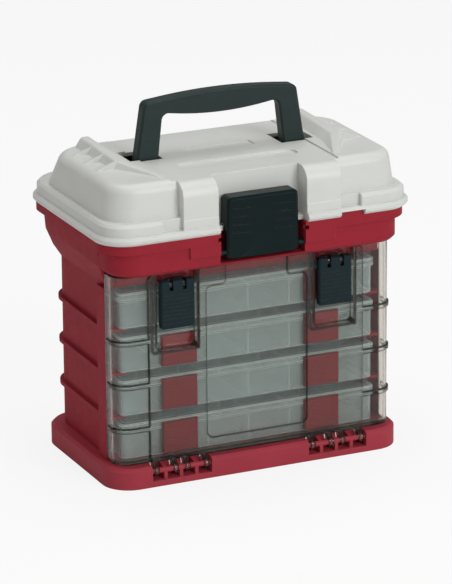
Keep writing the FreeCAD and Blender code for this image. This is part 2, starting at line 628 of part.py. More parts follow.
def carry_handle(model):
    """Bail handle: two tapering legs, a crowned grip with a belly, and two pivot rods."""
    handle = model.body("carry_handle")
    low = "handle_pivot_z - handle_depth / 2"
    inner_foot = "handle_foot_half - handle_leg_foot"
    inner_top = "handle_top_half - handle_leg_top"
    handle.pad("XZ_Plane", "-handle_depth / 2", [
        ("-handle_foot_half - 0.8", low), ("-" + "(%s)" % inner_foot, low),
        ("-(%s)" % inner_top, "grip_under_z", "6"), ("0", "grip_belly_z", "280"),
        (inner_top, "grip_under_z", "6"), (inner_foot, low),
        ("handle_foot_half + 0.8", low), ("handle_top_half", "handle_shoulder_z", "6"),
        ("0", "handle_shoulder_z + handle_crown", "500"),
        ("-handle_top_half", "handle_shoulder_z", "6")], "handle_depth")
    level = model.value(low)
    handle.fillet("handle_depth / 2 - 0.2",
                  lambda edge: edge.BoundBox.ZMax < level + 0.01 and edge.BoundBox.XLength > 5)
    handle.chamfer("1.6", lambda edge: edge.BoundBox.YLength < 0.01
                   and edge.BoundBox.ZMin > level + 5.9)
    for side, start in (("left", "-slot_far - bearing_wall"), ("right", "slot_near - bearing_wall")):
        handle.rod(start, "0", "handle_pivot_z", "handle_peg_radius",
                   "slot_far - slot_near + 2 * bearing_wall")
    return handle


def main_latch(model):
    """Hollow over-centre cover that turns on two pegs in the tub's recess."""
    latch = model.body("main_latch")
    outer = [("-main_half", "main_bottom_z", "main_round"), ("main_half", "main_bottom_z", "main_round"),
             ("main_top_half", "main_top_z", "main_round"),
             ("-main_top_half", "main_top_z", "main_round")]
    latch.pad("XZ_Plane", "main_front", outer, "main_depth", True)
    level = -model.value("main_front")
    latch.chamfer("2", lambda edge: edge.BoundBox.YMax < level + 0.01)
    wall = "main_wall"
    latch.pocket("XZ_Plane", "main_front - main_wall", [
        ("-main_half + " + wall, "main_bottom_z + " + wall, "main_round - main_wall"),
        ("main_half - " + wall, "main_bottom_z + " + wall, "main_round - main_wall"),
        ("main_top_half - " + wall, "main_top_z - " + wall, "main_round - main_wall"),
        ("-main_top_half + " + wall, "main_top_z - " + wall, "main_round - main_wall")],
        "main_depth", False)
    latch.pocket("YZ_Plane", "-main_half - 1", box_corners(
        "-main_front + main_lower_depth", "-main_front + main_depth + 1", "main_bottom_z - 1",
        "main_step_z"), "2 * main_half + 2")
    back = "-main_front + main_depth"
    latch.pad("YZ_Plane", "-main_half / 2", [
        (back, "main_top_z - main_wall + 0.5"), (back, "main_top_z - 6"),
        (back + " - 1.4", "main_top_z - 7"), (back + " - 2.4", "main_top_z - main_wall + 0.5")],
        "main_half")
    latch.rod("-recess_half - tub_wall + 0.4", "-main_pivot_y", "main_pivot_z", "main_pin_radius",
              "2 * (recess_half + tub_wall - 0.4)")
    grips = []
    for row in range(4):
        z = "main_top_z - 9.3 - %d * 7" % row
        grips.append(latch.pocket("XZ_Plane", "main_front - 0.8", box_corners(
            "-main_half + 5.5", "-11", z + " - 0.6", z + " + 0.6"), "5"))
    latch.mirror(grips)
    facet = [latch.loft("SubtractiveLoft", "YZ_Plane", [("0", facet_corners("facet_top_z")),
                                                        ("facet_half", facet_corners(
                                                            "main_bottom_z + 0.6"))])]
    latch.mirror(facet)
    return latch


def facet_corners(top):
    """Wedge cut from the latch's lower front, as high as top."""
    return [("-main_front - 1", "main_bottom_z - 1"), ("-main_front + facet_depth", "main_bottom_z - 1"),
            ("-main_front - 1", top)]


FACE = "(-foot_depth / 2 + rack_front_setback - door_depth)"
DOOR_BACK = "(-foot_depth / 2 + rack_front_setback - door_gap)"
DOOR_LOW = "(foot_height + door_bottom_gap)"
CHANNEL_FLOOR = "(%s - door_relief + channel_depth)" % FACE
LATCH_FRONT = "(%s - door_relief - latch_proud)" % FACE
LATCH_PIN_Y = "(%s + latch_thickness - latch_pin_inset)" % LATCH_FRONT


def door(model):
    """Clear drop-down door: a shallow tray with lobed corners, bands and two latch channels."""
    panel = model.body("door")
    height = "door_top_z - " + DOOR_LOW
    panel.pad("XY_Plane", DOOR_LOW, tray_corners("door_half", FACE, DOOR_BACK, "door_radius", "0"),
              height)
    panel.pad("XZ_Plane", "-" + FACE, [
        ("-lobe_half", DOOR_LOW, "5"), ("lobe_half", DOOR_LOW, "5"),
        ("lobe_half", "door_top_z", "5"), ("-lobe_half", "door_top_z", "5")], "door_relief")
    for number in (1, 2, 3):
        panel.pad("XY_Plane", shelf_z(number) + " - band_drop - door_band / 2",
                  tray_corners("door_half + band_proud", FACE + " - door_relief",
                               DOOR_BACK + " - 3", "door_radius + band_proud", "band_proud"),
                  "door_band")
    panel.pocket("XY_Plane", DOOR_LOW + " + door_wall",
                 tray_corners("door_half - door_wall", FACE + " + door_wall", DOOR_BACK + " + 1",
                              "door_radius - door_wall", "0"), "door_top_z")
    panel.pocket("XY_Plane", DOOR_LOW + " - 1",
                 box_corners("-door_half + door_wall", "door_half - door_wall",
                             FACE + " + door_sill", DOOR_BACK + " + 1"), "door_wall + 2")
    outline = [("-window_half", "window_bottom_z", "6"), ("window_half", "window_bottom_z", "6"),
               ("window_half", "window_shoulder_z", "5"),
               ("window_tab_half", "window_shoulder_z", "4"), ("window_tab_half", "door_top_z + 2"),
               ("-window_tab_half", "door_top_z + 2"), ("-window_tab_half", "window_shoulder_z", "4"),
               ("-window_half", "window_shoulder_z", "5")]
    panel.pocket("XZ_Plane", "-%s + door_relief - window_step" % FACE, outline, "5")
    panel.mirror(door_channel(panel) + door_knuckles(panel))
    return panel


def door_channel(panel):
    """Sunk channel for one door latch, its hook window and the two pin lugs."""
    centre = "-latch_spacing / 2"
    low, high = centre + " - channel_half", centre + " + channel_half"
    block = panel.pad("XY_Plane", "channel_bottom_z - door_wall", box_corners(
        low + " - door_wall", high + " + door_wall", FACE + " + door_wall / 2",
        CHANNEL_FLOOR + " + door_wall"), "door_top_z - channel_bottom_z + door_wall")
    channel = panel.pocket("XZ_Plane", "-" + CHANNEL_FLOOR, [
        (low, "channel_bottom_z", "5"), (high, "channel_bottom_z", "5"),
        (high, "door_top_z + 2"), (low, "door_top_z + 2")], "channel_depth + 2")
    window = panel.pocket("XZ_Plane", "-%s - door_wall - 1" % CHANNEL_FLOOR, box_corners(
        centre + " - hook_window_half", centre + " + hook_window_half", "hook_window_low",
        "hook_window_high"), "door_wall + 2")
    nose = LATCH_PIN_Y + " - lug_radius"
    lugs = [panel.pad("YZ_Plane", "%s %s lug_offset - lug_width / 2" % (centre, sign), [
        (nose, "latch_pivot_z - lug_radius", "lug_radius - 0.1"),
        (CHANNEL_FLOOR + " + 0.5", "latch_pivot_z - lug_radius"),
        (CHANNEL_FLOOR + " + 0.5", "latch_pivot_z + lug_radius"),
        (nose, "latch_pivot_z + lug_radius", "lug_radius - 0.1")], "lug_width")
        for sign in ("-", "+")]
    bore = panel.bore(centre + " - lug_offset - lug_width", LATCH_PIN_Y, "latch_pivot_z",
                      "latch_pin_radius + pin_clearance", "2 * (lug_offset + lug_width)")
    return [block, channel, window] + lugs + [bore]


def door_knuckles(panel):
    """Four knuckles below the door's edge, bored for one of the foot's hinge pins."""
    near, far = HINGE_Y + " - knuckle_radius", HINGE_Y + " + knuckle_radius"
    low = "hinge_z - knuckle_radius"
    corners = [(near, low, "knuckle_radius - 0.1"), (far, low, "knuckle_radius - 0.1"),
               (FACE + " + 6", DOOR_LOW + " + 1"), (FACE + " - 1", DOOR_LOW + " + 1"),
               (near, "hinge_z + 2.4", "2")]
    knuckles = [panel.pad("YZ_Plane", "-hinge_spacing / 2 %s %s - knuckle_width / 2" % (sign, offset),
                          corners, "knuckle_width")
                for offset in ("inner_knuckle_offset", "outer_knuckle_offset") for sign in ("-", "+")]
    bore = panel.bore("-hinge_spacing / 2 - notch_half", HINGE_Y, "hinge_z",
                      "pin_radius + pin_clearance", "2 * notch_half")
    return knuckles + [bore]


def door_latch(model, side, label):
    """Pull latch of the door: a ribbed plate with two slots, a pin and a hook behind."""
    latch = model.body(label)
    centre = side + "(latch_spacing / 2)"
    low, high = centre + " - latch_half", centre + " + latch_half"
    latch.pad("XZ_Plane", "-" + LATCH_FRONT, [
        (low, "latch_bottom_z", "2"), (high, "latch_bottom_z", "2"), (high, "latch_top_z", "2"),
        (low, "latch_top_z", "2")], "latch_thickness", True)
    front, top = model.value(LATCH_FRONT), model.value("latch_top_z")
    latch.chamfer("1.4", lambda edge: edge.BoundBox.XLength > 20 and edge.BoundBox.ZMin > top - 0.1
                  and edge.BoundBox.YMax < front + 0.1)
    latch.pocket("XZ_Plane", "-%s - latch_plate" % LATCH_FRONT, box_corners(
        low + " + 2", high + " - 2", "latch_bottom_z + 2", "latch_pivot_z - 12"),
        "latch_thickness", False)
    for sign in ("-", "+"):
        slot = "%s %s lug_offset" % (centre, sign)
        latch.pocket("XZ_Plane", "-%s + 1" % LATCH_FRONT, box_corners(
            slot + " - lug_slot / 2", slot + " + lug_slot / 2", "latch_pivot_z - lug_radius - 0.6",
            "latch_top_z + 1"), "latch_thickness + 2", False)
    latch.rod(low + " + 2", LATCH_PIN_Y, "latch_pivot_z", "latch_pin_radius", "2 * latch_half - 4")
    header = "%s + door_wall + header_setback" % FACE
    nose_top = "soffit_z - header_drop - hook_gap"
    latch.pad("YZ_Plane", centre + " - hook_half", [
        (LATCH_PIN_Y, "latch_pivot_z - 8"), (CHANNEL_FLOOR, "latch_pivot_z - 8"),
        (header + " + 0.8", nose_top + " - 4.4"), (header + " + 0.8", nose_top),
        (CHANNEL_FLOOR + " + 1.6", nose_top), (CHANNEL_FLOOR, "latch_pivot_z - 3"),
        (LATCH_PIN_Y, "latch_pivot_z - 3")], "2 * hook_half")
    groove = latch.pocket("XZ_Plane", "-%s - 0.6" % LATCH_FRONT, box_corners(
        low + " + 2", high + " - 2", "latch_bottom_z + 5", "latch_bottom_z + 5.8"), "5")
    latch.pattern([groove], "XY_Plane", "grip_pitch", 8)
    return latch


BOX_FRONT = "(-foot_depth / 2 + rack_front_setback - box_setback)"
BOX_REAR = "(%s + box_depth)" % BOX_FRONT


def box_plan(grow):
    """Plan of a utility box, grown outwards by an expression."""
    return tray_corners("box_half + " + grow, "%s - %s" % (BOX_FRONT, grow),
                        "%s + %s" % (BOX_REAR, grow), "box_radius + " + grow,
                        "box_rear_radius + " + grow)


def utility_box(model, number):
    """One box: tray, lid, two snap latches and a divider insert."""
    floor = "(foot_height + %d * shelf_pitch + box_gap)" % (number - 1)
    seam = "(%s + box_height - box_lid_height)" % floor
    name = "box_%d_" % number
    tray = model.body(name + "tray")
    tray.pad("XY_Plane", floor, box_plan("0"), "box_height - box_lid_height")
    tray.chamfer("1.6", at_height(model.value(floor)))
    tray.pad("XY_Plane", seam + " - box_flange", box_plan("box_flange"), "box_flange")
    tray.pocket("XY_Plane", floor + " + box_wall", box_plan("(-box_wall)"), "box_height")
    box_barrels(tray, seam, "-box_hinge_offset - box_barrel_length - 0.5", "-1.7")
    top = model.body(name + "lid")
    top.pad("XY_Plane", seam, box_plan("box_flange"), "box_lid_height")
    top.chamfer("1", at_height(model.value(floor + " + box_height")))
    top.pocket("XY_Plane", seam, box_plan("(-box_wall)"), "box_lid_height - 1.6")
    top.pocket("XY_Plane", floor + " + box_height - 0.6", box_plan("(-4)"), "2")
    box_barrels(top, seam, "-box_hinge_offset + 0.5", "0.1")
    for side, label in (("-", "latch_left"), ("", "latch_right")):
        box_latch(model, name + label, side, floor, seam)
    insert = model.body(name + "dividers")
    base = floor + " + box_wall"
    rise = "box_height - box_lid_height - box_wall - 0.8"
    half = "box_half - box_wall - running_gap"
    middle = "(%s + %s) / 2" % (BOX_FRONT, BOX_REAR)
    insert.pad("XY_Plane", base, box_corners(
        "-" + "(%s)" % half, half, middle + " - divider_thickness / 2",
        middle + " + divider_thickness / 2"), rise)
    cross = insert.pad("XY_Plane", base, box_corners(
        "-2 * divider_pitch - divider_thickness / 2", "-2 * divider_pitch + divider_thickness / 2",
        BOX_FRONT + " + box_wall + running_gap", BOX_REAR + " - box_wall - running_gap"), rise)
    insert.pattern([cross], "YZ_Plane", "divider_pitch", 5)


def box_barrels(piece, seam, start, rise):
    """Pair of hinge barrels behind a box, each on an arm just above or below the seam."""
    y = BOX_REAR + " + box_flange + box_barrel_radius + box_barrel_gap"
    barrel = piece.rod(start, y, seam, "box_barrel_radius", "box_barrel_length")
    arm = piece.pad("XY_Plane", "%s + %s" % (seam, rise), box_corners(
        start, start + " + box_barrel_length", BOX_REAR + " + box_flange - 0.4", y), "1.6")
    piece.mirror([barrel, arm])


def box_latch(model, label, side, floor, seam):
    """Snap latch on a box's front, with a hook below the tray's flange."""
    latch = model.body(label)
    centre = side + "(box_latch_offset)"
    low, high = centre + " - box_latch_half", centre + " + box_latch_half"
    back = "(%s - box_flange)" % BOX_FRONT
    latch.pad("XZ_Plane", "-" + back, [
        (low, floor + " + box_latch_low"), (high, floor + " + box_latch_low"),
        (high, floor + " + box_latch_high"), (low, floor + " + box_latch_high")],
        "box_latch_thickness")
    front = model.value(back + " - box_latch_thickness")
    latch.chamfer("0.8", lambda edge: edge.BoundBox.YMax < front + 0.01)
    latch.pad("YZ_Plane", low + " + 5", [
        (back + " - 0.5", seam + " - box_flange - 3"), (BOX_FRONT, seam + " - box_flange - 1.4"),
        (BOX_FRONT, seam + " - box_flange"), (back + " - 0.5", seam + " - box_flange")],
        "2 * box_latch_half - 10")
    return latch


def main():
    os.makedirs("parts", exist_ok=True)
    model = Model()
    foot_plate(model)
    rack_body(model)
    storage_tub(model)
    lid(model)
    lid_hinge_pin(model, "-", "lid_hinge_pin_left")
    lid_hinge_pin(model, "", "lid_hinge_pin_right")
    carry_handle(model)
    main_latch(model)
    door(model)
    door_latch(model, "-", "door_latch_left")
    door_latch(model, "", "door_latch_right")
    for number in (1, 2, 3, 4):
        utility_box(model, number)
    finish(model)


def finish(model):
    """Check every object and write each sub-part's shape."""
    model.doc.recompute()
    for item in model.doc.Objects:
        if "Invalid" in item.State or "Error" in item.State:
            raise ValueError("%s failed: %s" % (item.Name, item.State))
    for label, part in model.parts.items():
        shape = part.Shape
        if shape.isNull() or not shape.isValid():
            raise ValueError("%s has no valid shape" % label)
        shape.exportStep("parts/%s.step" % label)
        print(label, len(shape.Solids), round(shape.Volume / 1000, 2), shape.BoundBox)


main()
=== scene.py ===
"""Fishing tackle cabinet: finishes for its CAD nodes, with floor, world, lamps and camera."""

import json
import logging
import math
from dataclasses import dataclass
from enum import Enum
from typing import ClassVar

import bmesh
import bpy
import numpy as np
from mathutils import Matrix, Vector

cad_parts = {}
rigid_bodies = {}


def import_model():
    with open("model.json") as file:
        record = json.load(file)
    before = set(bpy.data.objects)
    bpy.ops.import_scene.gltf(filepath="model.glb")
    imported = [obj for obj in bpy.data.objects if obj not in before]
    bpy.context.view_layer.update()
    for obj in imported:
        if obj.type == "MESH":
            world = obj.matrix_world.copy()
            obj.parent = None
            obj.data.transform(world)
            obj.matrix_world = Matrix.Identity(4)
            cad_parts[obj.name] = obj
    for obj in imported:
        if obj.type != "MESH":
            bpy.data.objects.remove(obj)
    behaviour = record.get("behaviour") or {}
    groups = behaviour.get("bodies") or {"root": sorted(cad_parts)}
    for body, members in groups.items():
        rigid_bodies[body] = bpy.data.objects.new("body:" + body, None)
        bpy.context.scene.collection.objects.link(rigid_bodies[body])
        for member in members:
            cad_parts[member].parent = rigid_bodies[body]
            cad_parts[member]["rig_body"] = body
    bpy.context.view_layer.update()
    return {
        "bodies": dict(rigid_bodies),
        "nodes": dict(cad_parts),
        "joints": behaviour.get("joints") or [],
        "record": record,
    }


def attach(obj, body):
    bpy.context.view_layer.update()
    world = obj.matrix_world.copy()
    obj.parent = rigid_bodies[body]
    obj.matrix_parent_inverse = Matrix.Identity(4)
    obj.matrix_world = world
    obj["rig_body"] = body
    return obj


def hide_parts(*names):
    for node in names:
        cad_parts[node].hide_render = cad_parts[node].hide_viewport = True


LOG = logging.getLogger("tackle_cabinet")

Colour = tuple[float, float, float]
Point = tuple[float, float, float]
Span = tuple[float, float]

WHITE: Colour = (1.0, 1.0, 1.0)
EVEN: Point = (1.0, 1.0, 1.0)
UNIT: Span = (0.0, 1.0)


# ---------------------------------------------------------------- node graphs

EDGE_SAMPLES = 6
WAVE_PHASE = 20.0  # radians that the wave texture runs through per metre at a Scale of 1
FIRST_COLOUR, SECOND_COLOUR, MIXED_COLOUR = 6, 7, 2  # sockets of a Mix node that mixes colours


class Operation(Enum):
    """Math on factors, as the Math node spells it."""

    PRODUCT = "MULTIPLY"
    SCALED_SUM = "MULTIPLY_ADD"
    GREATER = "MAXIMUM"


class Ray(Enum):
    """Kind of ray, as the Light Path node spells it."""

    CAMERA = "Is Camera Ray"
    TRANSMISSION = "Is Transmission Ray"
    SHADOW = "Is Shadow Ray"
    DIFFUSE = "Is Diffuse Ray"


@dataclass(frozen=True)
class Noise:
    """Noise pattern: scale per metre, octaves, their roughness and a factor along each axis."""

    scale: float
    detail: float
    rough: float
    stretch: Point = EVEN


class NodeGraph:
    """Short way to build the node tree of one material or world."""

    def __init__(self, owner: bpy.types.Material | bpy.types.World,
                 output: str = "ShaderNodeOutputMaterial") -> None:
        """Start a tree that holds only its output.

        Args:
            owner: material or world that gets the tree.
            output: type of the output node.
        """
        owner.use_nodes = True
        self.tree = owner.node_tree
        self.tree.nodes.clear()
        self.output = self.add(output)

    def add(self, kind: str, **inputs: object) -> bpy.types.Node:
        """Add a node and set or link its inputs.

        Args:
            kind: node type.
            **inputs: input name, with _ for a space, to a value or an output socket.

        Returns:
            The new node.
        """
        node = self.tree.nodes.new(kind)
        for name, value in inputs.items():
            self.feed(node, name.replace("_", " "), value)
        return node

    def feed(self, node: bpy.types.Node, name: str | int, value: object) -> None:
        """Set an input socket to a value, or link an output into it.

        Args:
            node: node that owns the input.
            name: input name or index.
            value: output socket, number, vector, or colour without alpha.
        """
        socket = node.inputs[name]
        if isinstance(value, bpy.types.NodeSocket):
            self.tree.links.new(value, socket)
        elif socket.type == "RGBA":
            socket.default_value = (*value, 1.0)
        else:
            socket.default_value = value

    def place(self, stretch: Point = EVEN) -> bpy.types.NodeSocket:
        """Object coordinates in metres, stretched.

        Args:
            stretch: factor along each axis.

        Returns:
            Vector output.
        """
        coordinates = self.add("ShaderNodeTexCoord")
        mapping = self.add("ShaderNodeMapping", Vector=coordinates.outputs["Object"], Scale=stretch)
        return mapping.outputs["Vector"]

    def noise(self, pattern: Noise) -> bpy.types.NodeSocket:
        """Noise on object coordinates.

        Args:
            pattern: pattern of the noise.

        Returns:
            Factor output.
        """
        node = self.add("ShaderNodeTexNoise", Vector=self.place(pattern.stretch),
                        Scale=pattern.scale, Detail=pattern.detail, Roughness=pattern.rough)
        return node.outputs["Fac"]

    def level_lines(self, pitch: float) -> bpy.types.NodeSocket:
        """Level lines that repeat up the object.

        Args:
            pitch: distance from line to line in metres.

        Returns:
            Factor that follows a sine from 0 to 1 and back once per pitch.
        """
        waves = self.add("ShaderNodeTexWave", Vector=self.place(),
                         Scale=2.0 * math.pi / (WAVE_PHASE * pitch))
        waves.wave_type = "BANDS"
        waves.bands_direction = "Z"
        return waves.outputs["Fac"]

    def remap(self, value: bpy.types.NodeSocket, given: Span, wanted: Span) -> bpy.types.NodeSocket:
        """Linear remap, clamped to the wanted span.

        Args:
            value: input factor.
            given: two input values.
            wanted: results at these two values.

        Returns:
            Remapped factor.
        """
        node = self.add("ShaderNodeMapRange", Value=value, From_Min=given[0], From_Max=given[1],
                        To_Min=wanted[0], To_Max=wanted[1])
        return node.outputs["Result"]

    def combine(self, operation: Operation, *values: object) -> bpy.types.NodeSocket:
        """Result of a math operation.

        Args:
            operation: what is done with the values.
            *values: numbers or factors, in the order that the operation takes them.

        Returns:
            Factor output.
        """
        node = self.add("ShaderNodeMath")
        node.operation = operation.value
        for index, value in enumerate(values):
            self.feed(node, index, value)
        return node.outputs[0]

    def ray_is(self, first: Ray, second: Ray) -> bpy.types.NodeSocket:
        """Factor that is 1 on rays of either kind and 0 on others."""
        path = self.add("ShaderNodeLightPath")
        return self.combine(Operation.GREATER, path.outputs[first.value], path.outputs[second.value])

    def blend(self, factor: bpy.types.NodeSocket, first: object,
              second: object) -> bpy.types.NodeSocket:
        """Mix of two colours.

        Args:
            factor: 0 gives first, 1 gives second.
            first: colour or socket.
            second: colour or socket.

        Returns:
            Colour output.
        """
        node = self.tree.nodes.new("ShaderNodeMix")
        node.data_type = "RGBA"
        self.feed(node, "Factor", factor)
        self.feed(node, FIRST_COLOUR, first)
        self.feed(node, SECOND_COLOUR, second)
        return node.outputs[MIXED_COLOUR]

    def bump(self, height: bpy.types.NodeSocket, distance: float,
             normal: bpy.types.NodeSocket | None = None,
             strength: float = 1.0) -> bpy.types.NodeSocket:
        """Bump from a height factor.

        Args:
            height: height factor.
            distance: real height in metres of a factor of 1.
            normal: normal to start from, where it isn't the plain one.
            strength: bump strength.

        Returns:
            Normal output.
        """
        node = self.add("ShaderNodeBump", Height=height, Strength=strength, Distance=distance)
        if normal is not None:
            self.feed(node, "Normal", normal)
        return node.outputs["Normal"]

    def soft_edges(self, radius: float) -> bpy.types.NodeSocket:
        """Normal that rounds sharp edges.

        Args:
            radius: edge radius in metres.

        Returns:
            Normal output.
        """
        node = self.add("ShaderNodeBevel", Radius=radius)
        node.samples = EDGE_SAMPLES
        return node.outputs["Normal"]

    def edge_mask(self, rounded: bpy.types.NodeSocket, cosines: Span,
                  share: float = 1.0) -> bpy.types.NodeSocket:
        """Factor that rises where the rounded normal leaves the plain one.

        Args:
            rounded: normal with soft edges.
            cosines: cosine between the two normals where the edge begins and where it is full.
            share: factor on a full edge.

        Returns:
            Edge factor.
        """
        plain = self.add("ShaderNodeNewGeometry").outputs["Normal"]
        cosine = self.add("ShaderNodeVectorMath")
        cosine.operation = "DOT_PRODUCT"
        self.feed(cosine, 0, rounded)
        self.feed(cosine, 1, plain)
        return self.remap(cosine.outputs["Value"], cosines, (0.0, share))

    def mix_shaders(self, share: object, first: bpy.types.NodeSocket,
                    second: bpy.types.NodeSocket) -> bpy.types.NodeSocket:
        """Mix of two shaders.

        Args:
            share: 0 gives first, 1 gives second; a number or a socket.
            first: shader output.
            second: shader output.

        Returns:
            Shader output.
        """
        node = self.add("ShaderNodeMixShader")
        for index, value in enumerate((share, first, second)):
            self.feed(node, index, value)
        return node.outputs[0]

    def surface(self, shader: bpy.types.NodeSocket) -> None:
        """Link the shader to the output's surface."""
        self.feed(self.output, "Surface", shader)


# ---------------------------------------------------------------- finishes


def scaled(colour: Colour, factor: float) -> Colour:
    """Colour multiplied by a factor."""
    return tuple(c * factor for c in colour)


@dataclass(frozen=True)
class MouldedPlastic:
    """Opaque moulded plastic with a fine grain, faint flow marks, and edges lightened for wear and as
    painted highlight.

    The heights grain and line_depth, the radius and the pitch are in metres. Edges move from the
    colour towards edge_tone by the share edge_wear: partly wear, partly painted highlight where the
    edges catch the light.
    """

    CLOUDS: ClassVar[Noise] = Noise(scale=22.0, detail=4.0, rough=0.6)
    STREAKS: ClassVar[Noise] = Noise(scale=60.0, detail=3.0, rough=0.5, stretch=(0.35, 0.35, 1.6))
    CLOUD_SHARE: ClassVar[float] = 0.65
    FLOW_SPAN: ClassVar[Span] = (0.3, 0.75)
    EDGE_PATCHES: ClassVar[Noise] = Noise(scale=260.0, detail=3.0, rough=0.6)
    EDGE_PATCH_SPAN: ClassVar[Span] = (0.35, 0.65)
    EDGE_PATCH_SHARE: ClassVar[Span] = (0.3, 1.0)
    EDGE_COSINES: ClassVar[Span] = (0.985, 0.80)
    RUBBED: ClassVar[Noise] = Noise(scale=90.0, detail=5.0, rough=0.65)
    RUBBED_SPAN: ClassVar[Span] = (0.3, 0.7)
    SMOOTHER: ClassVar[float] = 0.05
    ROUGHER: ClassVar[float] = 0.07
    GRAIN_DETAIL: ClassVar[float] = 2.0
    GRAIN_ROUGH: ClassVar[float] = 0.5
    IOR: ClassVar[float] = 1.49

    name: str
    colour: Colour
    roughness: float
    grain: float = 0.00004
    grain_scale: float = 1500.0
    flow: float = 0.07
    edge_radius: float = 0.0007
    # edge lightening: partly wear, partly painted highlight
    edge_wear: float = 0.10
    edge_tone: float = 0.75
    specular: float = 0.35
    line_pitch: float = 0.0
    line_depth: float = 0.0

    def material(self) -> bpy.types.Material:
        """Build the node material.

        Returns:
            The finished material.
        """
        material = bpy.data.materials.new(self.name)
        graph = NodeGraph(material)
        rounded = graph.soft_edges(self.edge_radius)
        rough = graph.remap(graph.noise(self.RUBBED), self.RUBBED_SPAN,
                            (self.roughness - self.SMOOTHER, self.roughness + self.ROUGHER))
        shader = graph.add("ShaderNodeBsdfPrincipled", Base_Color=self.tone(graph, rounded),
                           Roughness=rough, Normal=self.relief(graph, rounded),
                           Specular_IOR_Level=self.specular, IOR=self.IOR)
        graph.surface(shader.outputs[0])
        return material

    def tone(self, graph: NodeGraph, rounded: bpy.types.NodeSocket) -> bpy.types.NodeSocket:
        """Colour with flow marks, and lightened on the edges for wear and as painted highlight.

        Args:
            graph: graph of the material.
            rounded: normal with soft edges.

        Returns:
            Colour output.
        """
        streaks = graph.remap(graph.noise(self.STREAKS), UNIT, (0.0, 1.0 - self.CLOUD_SHARE))
        marks = graph.combine(Operation.SCALED_SUM, graph.noise(self.CLOUDS), self.CLOUD_SHARE,
                              streaks)
        base = graph.blend(graph.remap(marks, self.FLOW_SPAN, UNIT),
                           scaled(self.colour, 1.0 - self.flow), scaled(self.colour, 1.0 + self.flow))
        # edge lightening in patches: partly wear, partly painted highlight on the edges
        edge_patches = graph.remap(graph.noise(self.EDGE_PATCHES), self.EDGE_PATCH_SPAN, self.EDGE_PATCH_SHARE)
        edge = graph.combine(Operation.PRODUCT, graph.edge_mask(rounded, self.EDGE_COSINES), edge_patches)
        worn_and_lit = tuple(c + (self.edge_tone - c) * self.edge_wear for c in self.colour)
        return graph.blend(edge, base, worn_and_lit)

    def relief(self, graph: NodeGraph, rounded: bpy.types.NodeSocket) -> bpy.types.NodeSocket:
        """Normal with the grain, and with level lines where the finish has a pitch for them.

        Args:
            graph: graph of the material.
            rounded: normal with soft edges.

        Returns:
            Normal output.
        """
        fine = graph.noise(Noise(self.grain_scale, self.GRAIN_DETAIL, self.GRAIN_ROUGH))
        normal = graph.bump(fine, self.grain, rounded)
        if self.line_pitch > 0.0:
            normal = graph.bump(graph.level_lines(self.line_pitch), self.line_depth, normal)
        return normal


